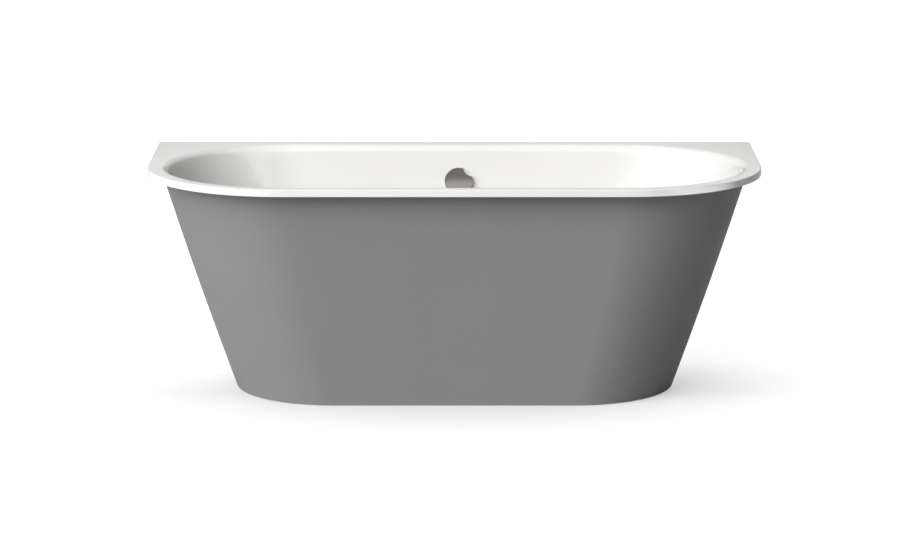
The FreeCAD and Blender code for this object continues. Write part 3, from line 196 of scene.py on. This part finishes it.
def dress(piece, *finishes):
    piece.data.materials.clear()
    for finish in finishes:
        piece.data.materials.append(finish)


def rim_inset(place):
    """How far a point lies inside the outline of the rim."""
    side = RIM_LENGTH / 2 - abs(place.x)
    back = RIM_WIDTH / 2 - place.y
    front = RIM_WIDTH / 2 + place.y
    past = abs(place.x) - (RIM_LENGTH / 2 - RIM_CORNER)
    if past > 0 and place.y < RIM_CORNER - RIM_WIDTH / 2:
        front = RIM_CORNER - math.hypot(past, place.y - RIM_CORNER + RIM_WIDTH / 2)
    return min(side, back, front)


enamel = start_finish("white_enamel", (0.82, 0.814, 0.80), 0.09)
mottle(enamel, speckle(enamel, 2.5), (0.802, 0.796, 0.781), (0.828, 0.822, 0.808))
vary_gloss(enamel, speckle(enamel, 9), 0.075, 0.105)
emboss(enamel, speckle(enamel, 90, 1.0), 0.000004)

coat_ground = (0.15, 0.155, 0.165)
coat_specks = (0.40, 0.405, 0.41)
ground_coat = start_finish("ground_coat", (0.20, 0.21, 0.22), 0.34)
mottle(ground_coat, speckle(ground_coat, 650, 5.0), coat_ground, coat_specks, 0.46, 0.76)
vary_gloss(ground_coat, speckle(ground_coat, 40), 0.28, 0.42)
emboss(ground_coat, speckle(ground_coat, 300, 2.0), 0.0002)

tub = finished_copy("bath_shell", crease=TUB_CREASE)
dress(tub, enamel, ground_coat)
for face in tub.data.polygons:
    middle = face.center
    along_line = max(-MIDDLE_LINE_END, min(MIDDLE_LINE_END, middle.x))
    above = Vector((along_line, 0, RIM_TOP + MIDDLE_LINE_RISE))
    outside = face.normal.dot(above - middle) < 0
    if outside and middle.z < RIM_TOP - RIM_SKIN and rim_inset(middle) > LIP_REACH:
        face.material_index = 1

# Sound mats
# Bitumen mats stuck on the outside of the long walls, to keep the steel from ringing. They are black and
# dull, with a fine grain.


def dress_nodes(finish, *names):
    for name in names:
        dress(frame["nodes"][name], finish)


bitumen = start_finish("bitumen_mat", (0.030, 0.028, 0.026), 0.75)
mottle(bitumen, speckle(bitumen, 60), (0.022, 0.021, 0.020), (0.045, 0.042, 0.039))
vary_gloss(bitumen, speckle(bitumen, 120), 0.6, 0.85)
emboss(bitumen, speckle(bitumen, 700, 2.0), 0.0006)
dress_nodes(bitumen, "sound_mats_front", "sound_mats_back")

# Apron
# One sheet of steel bent round the ends and the front, with a flange under the rim and one at the floor.
# It is painted a satin mid grey on both sides, with the fine texture of sprayed paint.

apron_paint = start_finish("apron_paint", (0.229, 0.229, 0.229), 0.56)
apron_paint.node_tree.nodes["Principled BSDF"].inputs["Specular IOR Level"].default_value = 0.2
mottle(apron_paint, speckle(apron_paint, 1.6), (0.225, 0.225, 0.225), (0.233, 0.233, 0.233))
vary_gloss(apron_paint, speckle(apron_paint, 14), 0.52, 0.60)
emboss(apron_paint, speckle(apron_paint, 900, 1.0), 0.00005)
apron = finished_copy("apron_panel")
dress(apron, apron_paint)

# Apron seal
# A strip of black closed-cell foam, cut from sheet. It is stuck on the apron's top flange and squeezed
# under the rim, so that the two sheets of steel don't rattle.

foam = start_finish("foam_strip", (0.045, 0.045, 0.047), 0.9)
mottle(foam, speckle(foam, 900, 2.0), (0.03, 0.03, 0.031), (0.06, 0.06, 0.062))
emboss(foam, speckle(foam, 1100, 2.0), 0.0004)
dress_nodes(foam, "apron_seal")

# Rails and stays
# Bent steel sections, zinc plated: two channels across the tub, and two stays that tie them to the apron's
# foot with bolts and studs. The nuts of the feet are plated too. Plating leaves a cloudy shine.

STEEL_EDGE = 0.0005


def finish_nodes(finish, slot, edge, *names):
    """Finished copies of CAD pieces, with broken edges and a finish."""
    for name in names:
        piece = finished_copy(name, edge)
        dress(piece, finish)


zinc = start_finish("zinc_plate", (0.56, 0.57, 0.58), 0.38, 1.0)
mottle(zinc, speckle(zinc, 55, 4.0), (0.48, 0.49, 0.51), (0.62, 0.63, 0.64))
vary_gloss(zinc, speckle(zinc, 130), 0.30, 0.48)
emboss(zinc, speckle(zinc, 800, 2.0), 0.00008)
finish_nodes(zinc, "zinc_steel", STEEL_EDGE, "rail_left", "rail_right", "apron_stay_left",
             "apron_stay_right", "apron_stay_bolts", "apron_stay_nuts", "apron_studs", "foot_nuts")

# Feet
# Zinc plated screw spindles with a rolled thread and a hexagon to turn them by. Each stands in a pad of
# moulded black nylon, which spreads the load on the floor.

THREAD_RADIUS = 0.006
THREAD_PITCH = 0.00175
THREAD_DEPTH = 0.0007
THREAD_CUTS = 3
THREAD_STEPS = 20
# Turns of the thread that are wound past each end and cut off.
SPARE_TURNS = 2
HEXAGON_FLATS = 0.014
HEXAGON_LOW = 0.014
HEXAGON_HIGH = 0.022
SPIGOT_SIDES = 40
SPINDLE_EDGE = 0.0006
SPINDLE_OVERLAP = 0.003
SPINDLE_CREASE = 35
NYLON_EDGE = 0.0008
FOOT_PLACES = ("front_left", "front_right", "back_left", "back_right")


def pick(piece, wanted):
    """In edit mode, select the points of a piece that a test wants."""
    bpy.ops.mesh.select_all(action="DESELECT")
    bpy.ops.object.mode_set(mode="OBJECT")
    for point in piece.data.vertices:
        point.select = wanted(point.co)
    bpy.ops.object.mode_set(mode="EDIT")


def threaded_rod(low, high):
    """An upright rod: one turn of the thread's profile, wound up and cut flat at both ends."""
    bpy.ops.object.select_all(action="DESELECT")
    start = low - SPARE_TURNS * THREAD_PITCH
    middle = THREAD_RADIUS + THREAD_PITCH / 2
    upright = (math.pi / 2, 0, 0)
    bpy.ops.mesh.primitive_plane_add(size=THREAD_PITCH, location=(middle, 0, start), rotation=upright)
    bpy.ops.object.transform_apply(location=True, rotation=True, scale=True)
    rod = bpy.context.object
    bpy.ops.object.mode_set(mode="EDIT")
    bpy.ops.mesh.select_mode(type="VERT")
    pick(rod, lambda place: place.x > middle)
    bpy.ops.mesh.delete(type="VERT")
    bpy.ops.mesh.select_all(action="SELECT")
    bpy.ops.mesh.subdivide(number_cuts=THREAD_CUTS)
    pick(rod, lambda place: abs(place.z - start) < THREAD_PITCH / 8)
    bpy.ops.transform.translate(value=(-THREAD_DEPTH, 0, 0))
    bpy.ops.object.mode_set(mode="OBJECT")
    bpy.ops.object.modifier_add(type="SCREW")
    winding = rod.modifiers[-1]
    winding.screw_offset = THREAD_PITCH
    winding.iterations = math.ceil((high - low) / THREAD_PITCH) + 2 * SPARE_TURNS
    winding.steps = THREAD_STEPS
    winding.render_steps = THREAD_STEPS
    bpy.ops.object.modifier_apply(modifier=winding.name)
    bpy.ops.object.mode_set(mode="EDIT")
    bpy.ops.mesh.select_all(action="SELECT")
    bpy.ops.mesh.remove_doubles(threshold=SAME_POINT)
    bpy.ops.mesh.bisect(plane_co=(0, 0, low), plane_no=(0, 0, 1), use_fill=True, clear_inner=True)
    bpy.ops.mesh.select_all(action="SELECT")
    bpy.ops.mesh.bisect(plane_co=(0, 0, high), plane_no=(0, 0, 1), use_fill=True, clear_outer=True)
    bpy.ops.mesh.select_all(action="SELECT")
    bpy.ops.mesh.normals_make_consistent(inside=False)
    bpy.ops.object.mode_set(mode="OBJECT")
    return rod


def turned_bar(sides, radius, low, high, turn=0.0):
    """An upright round or hexagonal bar with broken edges."""
    bpy.ops.object.select_all(action="DESELECT")
    centre = (0, 0, (low + high) / 2)
    bpy.ops.mesh.primitive_cylinder_add(vertices=sides, radius=radius, depth=high - low, location=centre)
    bpy.ops.transform.rotate(value=turn, orient_axis="Z", center_override=(0, 0, 0))
    bpy.ops.object.transform_apply(location=True, rotation=True, scale=True)
    bar = bpy.context.object
    break_edges(bar, SPINDLE_EDGE)
    return bar


spindle_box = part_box("foot_spindle_front_left")
spindle_low = spindle_box[0][2]
spindle_high = spindle_box[1][2]
hexagon_radius = HEXAGON_FLATS / math.sqrt(3)
spindle_parts = [threaded_rod(HEXAGON_HIGH - SPINDLE_OVERLAP, spindle_high),
                 turned_bar(6, hexagon_radius, HEXAGON_LOW, HEXAGON_HIGH, math.pi / 6),
                 turned_bar(SPIGOT_SIDES, THREAD_RADIUS, spindle_low, HEXAGON_LOW + SPINDLE_OVERLAP)]
bpy.ops.object.select_all(action="DESELECT")
for part in spindle_parts:
    part.select_set(True)
master = spindle_parts[0]
bpy.context.view_layer.objects.active = master
bpy.ops.object.join()
master.name = "foot_spindle_master"
bpy.ops.object.shade_smooth_by_angle(angle=math.radians(SPINDLE_CREASE))
dress(master, zinc)
for place in FOOT_PLACES:
    low_corner, high_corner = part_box("foot_spindle_" + place)
    across = (low_corner[0] + high_corner[0]) / 2
    deep = (low_corner[1] + high_corner[1]) / 2
    bpy.ops.object.select_all(action="DESELECT")
    spindle = master.copy()
    spindle.data = spindle.data.copy()
    spindle.name = "threaded_spindle_" + place
    bpy.context.scene.collection.objects.link(spindle)
    spindle.select_set(True)
    bpy.context.view_layer.objects.active = spindle
    bpy.ops.transform.translate(value=(across, deep, 0))
    bpy.ops.object.transform_apply(location=True, rotation=True, scale=True)
    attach(spindle, "foot_" + place)
    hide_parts("foot_spindle_" + place)
bpy.data.objects.remove(master)

black_nylon = start_finish("black_nylon", (0.028, 0.028, 0.030), 0.5)
mottle(black_nylon, speckle(black_nylon, 30), (0.022, 0.022, 0.024), (0.036, 0.036, 0.038))
vary_gloss(black_nylon, speckle(black_nylon, 200), 0.42, 0.6)
emboss(black_nylon, speckle(black_nylon, 1500, 1.0), 0.00015)
for place in FOOT_PLACES:
    finish_nodes(black_nylon, "foot_plastic", NYLON_EDGE, "foot_pad_" + place)

# Rubber pads and rings
# Pads of black rubber lie between the rails and the tub and in the wall hooks, so that steel doesn't rub on
# enamel. Moulded rings of the same rubber seal the drain, the plug and the joints of the pipes.

rubber = start_finish("black_rubber", (0.022, 0.022, 0.023), 0.72)
mottle(rubber, speckle(rubber, 80), (0.018, 0.018, 0.019), (0.030, 0.030, 0.031))
vary_gloss(rubber, speckle(rubber, 240), 0.62, 0.82)
emboss(rubber, speckle(rubber, 1800, 1.0), 0.0001)
dress_nodes(rubber, "rail_pad_left", "rail_pad_right", "wall_anchor_pads", "drain_top_gasket",
            "drain_bottom_gasket", "plug_seal", "trap_inlet_seal", "trap_cleanout_seal", "outlet_seal",
            "overflow_gasket", "overflow_pipe_seal_top", "overflow_pipe_seal_bottom")

# Wall anchors
# Hooks bent from steel strip and zinc plated like the rails. They are screwed to the wall and hold the back
# lip of the tub.

finish_nodes(zinc, "zinc_steel", STEEL_EDGE, "wall_anchor_left", "wall_anchor_right")

# Waste pipes and cable
# The drain body, trap, overflow elbow, pipes and slip nuts are moulded in pale polypropylene and screwed
# together. The cable that lifts the plug has a sheath of the same plastic. Its wire, the pins and the screws
# are plated steel.

PLASTIC_EDGE = 0.0005

waste_plastic = start_finish("waste_plastic", (0.74, 0.74, 0.72), 0.42)
mottle(waste_plastic, speckle(waste_plastic, 18), (0.71, 0.71, 0.69), (0.77, 0.77, 0.75))
vary_gloss(waste_plastic, speckle(waste_plastic, 90), 0.36, 0.5)
emboss(waste_plastic, speckle(waste_plastic, 1400, 1.0), 0.00008)
finish_nodes(waste_plastic, "waste_plastic", PLASTIC_EDGE, "drain_body", "trap_bend", "trap_inlet_nut",
             "trap_cleanout_cap", "outlet_pipe", "outlet_nut", "overflow_elbow", "overflow_pipe",
             "overflow_pipe_nut_top", "overflow_pipe_nut_bottom", "overflow_retainer", "cable_crank",
             "lift_lever", "cable_clips")
dress_nodes(waste_plastic, "bowden_sheath")
dress_nodes(zinc, "lever_pin", "knob_spindle", "overflow_screws", "bowden_wire", "plug_stem")

# Chrome
# The knob of the overflow, the plug and the drain's flange are brass, chrome plated with a satin finish
# that has a fine drawn grain. They are fitted last, from inside the basin.

DRAWN_GLOSS = (1, 0.06, 1)
DRAWN_GRAIN = (1, 0.05, 1)

satin_chrome = start_finish("satin_chrome", (0.575, 0.555, 0.505), 0.14, 1.0)
mottle(satin_chrome, speckle(satin_chrome, 12), (0.56, 0.54, 0.49), (0.59, 0.57, 0.52))
vary_gloss(satin_chrome, speckle(satin_chrome, 400, 2.0, DRAWN_GLOSS), 0.10, 0.18)
emboss(satin_chrome, speckle(satin_chrome, 2200, 1.0, DRAWN_GRAIN), 0.00001)
for name in ("overflow_knob", "plug_cap", "drain_flange"):
    fitting = finished_copy(name)
    dress(fitting, satin_chrome)

# Floor
# A wide plain floor of a pale matt finish. Where it is seen it is white, with a painted shade where the
# tub shelters it, which is strongest in front and fades towards the back. In mirrors it is less bright.

FLOOR_SIZE = 80
# The floor throws light back in its own tone. Where it is seen, a darker tone and a white glow replace that.
FLOOR_TONE = (0.48, 0.48, 0.475)
SEEN_TONE = (0.25, 0.25, 0.25)
MIRRORED_SHARE = 0.4
SHELTER_REACH = 0.65
SHELTER_SAMPLES = 24
DEEPEST_SHADE = 0.18
# The painted shade is full before the first of these places along the tub's depth, and weakest past the
# second.
SHADE_FULL = -0.12
SHADE_WEAK = 0.25
SHADE_LOSS = 0.8


def reckon(tree, operation, first, second=None):
    """A value worked out from a socket and, where it takes two, another socket or a number."""
    step = tree.nodes.new("ShaderNodeMath")
    step.operation = operation
    tree.links.new(first, step.inputs[0])
    if isinstance(second, float):
        step.inputs[1].default_value = second
    elif second is not None:
        tree.links.new(second, step.inputs[1])
    return step.outputs["Value"]


bpy.ops.object.select_all(action="DESELECT")
bpy.ops.mesh.primitive_plane_add(size=FLOOR_SIZE, location=(0, 0, 0))
floor = bpy.context.object
floor.name = "floor"
floor_finish = start_finish("pale_floor", FLOOR_TONE, 0.9)
floor_tree = floor_finish.node_tree
floor_shader = floor_tree.nodes["Principled BSDF"]
floor_shader.inputs["Specular IOR Level"].default_value = 0.0
floor_shader.inputs["Emission Color"].default_value = (1, 1, 1, 1)
floor_rays = floor_tree.nodes.new("ShaderNodeLightPath")
seen_plainly = reckon(floor_tree, "MAXIMUM", floor_rays.outputs["Is Camera Ray"],
                      floor_rays.outputs["Is Transmission Ray"])
seen_mirrored = reckon(floor_tree, "MULTIPLY", floor_rays.outputs["Is Glossy Ray"], MIRRORED_SHARE)
floor_seen = reckon(floor_tree, "MAXIMUM", seen_plainly, seen_mirrored)
mottle(floor_finish, floor_seen, FLOOR_TONE, SEEN_TONE, 0.0, 1.0)
# Painted shadow: the white glow is darkened where the tub shelters the floor, and less so towards the back.
sheltered = floor_tree.nodes.new("ShaderNodeAmbientOcclusion")
sheltered.samples = SHELTER_SAMPLES
sheltered.inputs["Distance"].default_value = SHELTER_REACH
shade = graded(floor_tree, sheltered.outputs["AO"], 0.0, 1.0, DEEPEST_SHADE)
ground = floor_tree.nodes.new("ShaderNodeTexCoord")
ground_axes = floor_tree.nodes.new("ShaderNodeSeparateXYZ")
floor_tree.links.new(ground.outputs["Object"], ground_axes.inputs["Vector"])
loss = graded(floor_tree, ground_axes.outputs["Y"], SHADE_FULL, SHADE_WEAK, 0.0, SHADE_LOSS)
faded_shade = graded(floor_tree, loss.outputs["Result"], 0.0, 1.0)
floor_tree.links.new(shade.outputs["Result"], faded_shade.inputs["To Min"])
glow = reckon(floor_tree, "MULTIPLY", floor_seen, faded_shade.outputs["Result"])
floor_tree.links.new(glow, floor_shader.inputs["Emission Strength"])
dress(floor, floor_finish)

# Light
# One large soft lamp, high on the left in front, gives most of the light. Smaller ones lift the left
# corner, the back and the front, and two only make reflections in the enamel. The surround is white where
# it is seen, shows as a soft grade in mirrors, and gives little light of its own.

SURROUND_LIGHT = 0.02
# The brightness of the surround in mirrors grows along this direction, up and to the back.
BRIGHT_SIDE = (0, 0.75, 0.66)
BRIGHT_FROM = 0.80
BRIGHT_TO = 0.855
MIRRORED_DIM = 0.22
MIRRORED_BRIGHT = 0.90
LAMP_TARGET = Vector((0, 0, 0.4))

world = bpy.data.worlds.new("white_surround")
bpy.context.scene.world = world
world.use_nodes = True
world_tree = world.node_tree
soft_light = world_tree.nodes["Background"]
mirrored = world_tree.nodes.new("ShaderNodeBackground")
white = world_tree.nodes.new("ShaderNodeBackground")
for surround in (soft_light, mirrored, white):
    surround.inputs["Color"].default_value = (1, 1, 1, 1)
soft_light.inputs["Strength"].default_value = SURROUND_LIGHT
white.inputs["Strength"].default_value = 1.0
heading = world_tree.nodes.new("ShaderNodeTexCoord")
along = world_tree.nodes.new("ShaderNodeVectorMath")
along.operation = "DOT_PRODUCT"
along.inputs[1].default_value = BRIGHT_SIDE
world_tree.links.new(heading.outputs["Generated"], along.inputs[0])
grade = graded(world_tree, along.outputs["Value"], BRIGHT_FROM, BRIGHT_TO, MIRRORED_DIM, MIRRORED_BRIGHT)
world_tree.links.new(grade.outputs["Result"], mirrored.inputs["Strength"])
world_rays = world_tree.nodes.new("ShaderNodeLightPath")
world_seen = reckon(world_tree, "MAXIMUM", world_rays.outputs["Is Camera Ray"],
                    world_rays.outputs["Is Transmission Ray"])
in_gloss = world_tree.nodes.new("ShaderNodeMixShader")
world_tree.links.new(world_rays.outputs["Is Glossy Ray"], in_gloss.inputs["Fac"])
world_tree.links.new(soft_light.outputs["Background"], in_gloss.inputs[1])
world_tree.links.new(mirrored.outputs["Background"], in_gloss.inputs[2])
in_view = world_tree.nodes.new("ShaderNodeMixShader")
world_tree.links.new(world_seen, in_view.inputs["Fac"])
world_tree.links.new(in_gloss.outputs["Shader"], in_view.inputs[1])
world_tree.links.new(white.outputs["Background"], in_view.inputs[2])
world_tree.links.new(in_view.outputs["Shader"], world_tree.nodes["World Output"].inputs["Surface"])


def lamp(name, azimuth, elevation, distance, width, height, power, in_mirrors=True, on_surfaces=True):
    """A soft lamp that points at the tub; azimuth 0 is in front and 90 is on the right."""
    around = math.radians(azimuth)
    up = math.radians(elevation)
    level = math.cos(up)
    towards = Vector((math.sin(around) * level, -math.cos(around) * level, math.sin(up)))
    light = bpy.data.lights.new(name, "AREA")
    light.shape = "RECTANGLE"
    light.size = width
    light.size_y = height
    light.energy = power
    piece = bpy.data.objects.new(name, light)
    piece.location = LAMP_TARGET + towards * distance
    piece.rotation_euler = towards.to_track_quat("Z", "Y").to_euler()
    piece.visible_camera = False
    piece.visible_glossy = in_mirrors
    piece.visible_diffuse = on_surfaces
    bpy.context.scene.collection.objects.link(piece)
    return piece


lamp("key_lamp", azimuth=-41, elevation=40, distance=20, width=18, height=18, power=6050, in_mirrors=False)
lamp("low_left", azimuth=-66, elevation=-1, distance=6, width=3, height=0.5, power=84, in_mirrors=False)
lamp("back_lamp", azimuth=180, elevation=6, distance=14, width=16, height=5, power=1300, in_mirrors=False)
lamp("front_panel", azimuth=8, elevation=10, distance=12, width=9, height=4.6, power=52)
side_strip = lamp("side_strip", azimuth=65, elevation=-3, distance=3, width=4.4, height=0.5, power=44,
                  on_surfaces=False)
lamp("top_panel", azimuth=0, elevation=75, distance=5, width=9, height=8, power=400, on_surfaces=False)

# The strip fades towards its two ends, so that its reflection in the lip has no hard edge.
STRIP_MIDDLE = 0.5
STRIP_HALF = 0.5
STRIP_FULL = 0.05

side_strip.data.use_nodes = True
strip_tree = side_strip.data.node_tree
strip_place = strip_tree.nodes.new("ShaderNodeNewGeometry")
strip_axes = strip_tree.nodes.new("ShaderNodeSeparateXYZ")
strip_tree.links.new(strip_place.outputs["Parametric"], strip_axes.inputs["Vector"])
from_middle = reckon(strip_tree, "SUBTRACT", strip_axes.outputs["X"], STRIP_MIDDLE)
to_either_end = reckon(strip_tree, "ABSOLUTE", from_middle)
fade = graded(strip_tree, to_either_end, STRIP_HALF, STRIP_FULL)
fade.interpolation_type = "SMOOTHSTEP"
strip_tree.links.new(fade.outputs["Result"], strip_tree.nodes["Emission"].inputs["Strength"])

# Camera
# It looks at the front of the tub from a little above, through a long lens that keeps the lines of the rim
# nearly level.

TILT_DOWN = 11.664

camera = bpy.data.cameras.new("camera")
camera.lens = 135.09
camera.sensor_width = 36
camera.shift_x = 0.00587
camera.clip_end = 200
viewer = bpy.data.objects.new("camera", camera)
viewer.location = (0, -9.1586, 2.2047)
viewer.rotation_euler = (math.radians(90 - TILT_DOWN), 0, 0)
bpy.context.scene.collection.objects.link(viewer)
bpy.context.scene.camera = viewer
bpy.context.scene.view_settings.view_transform = "Standard"
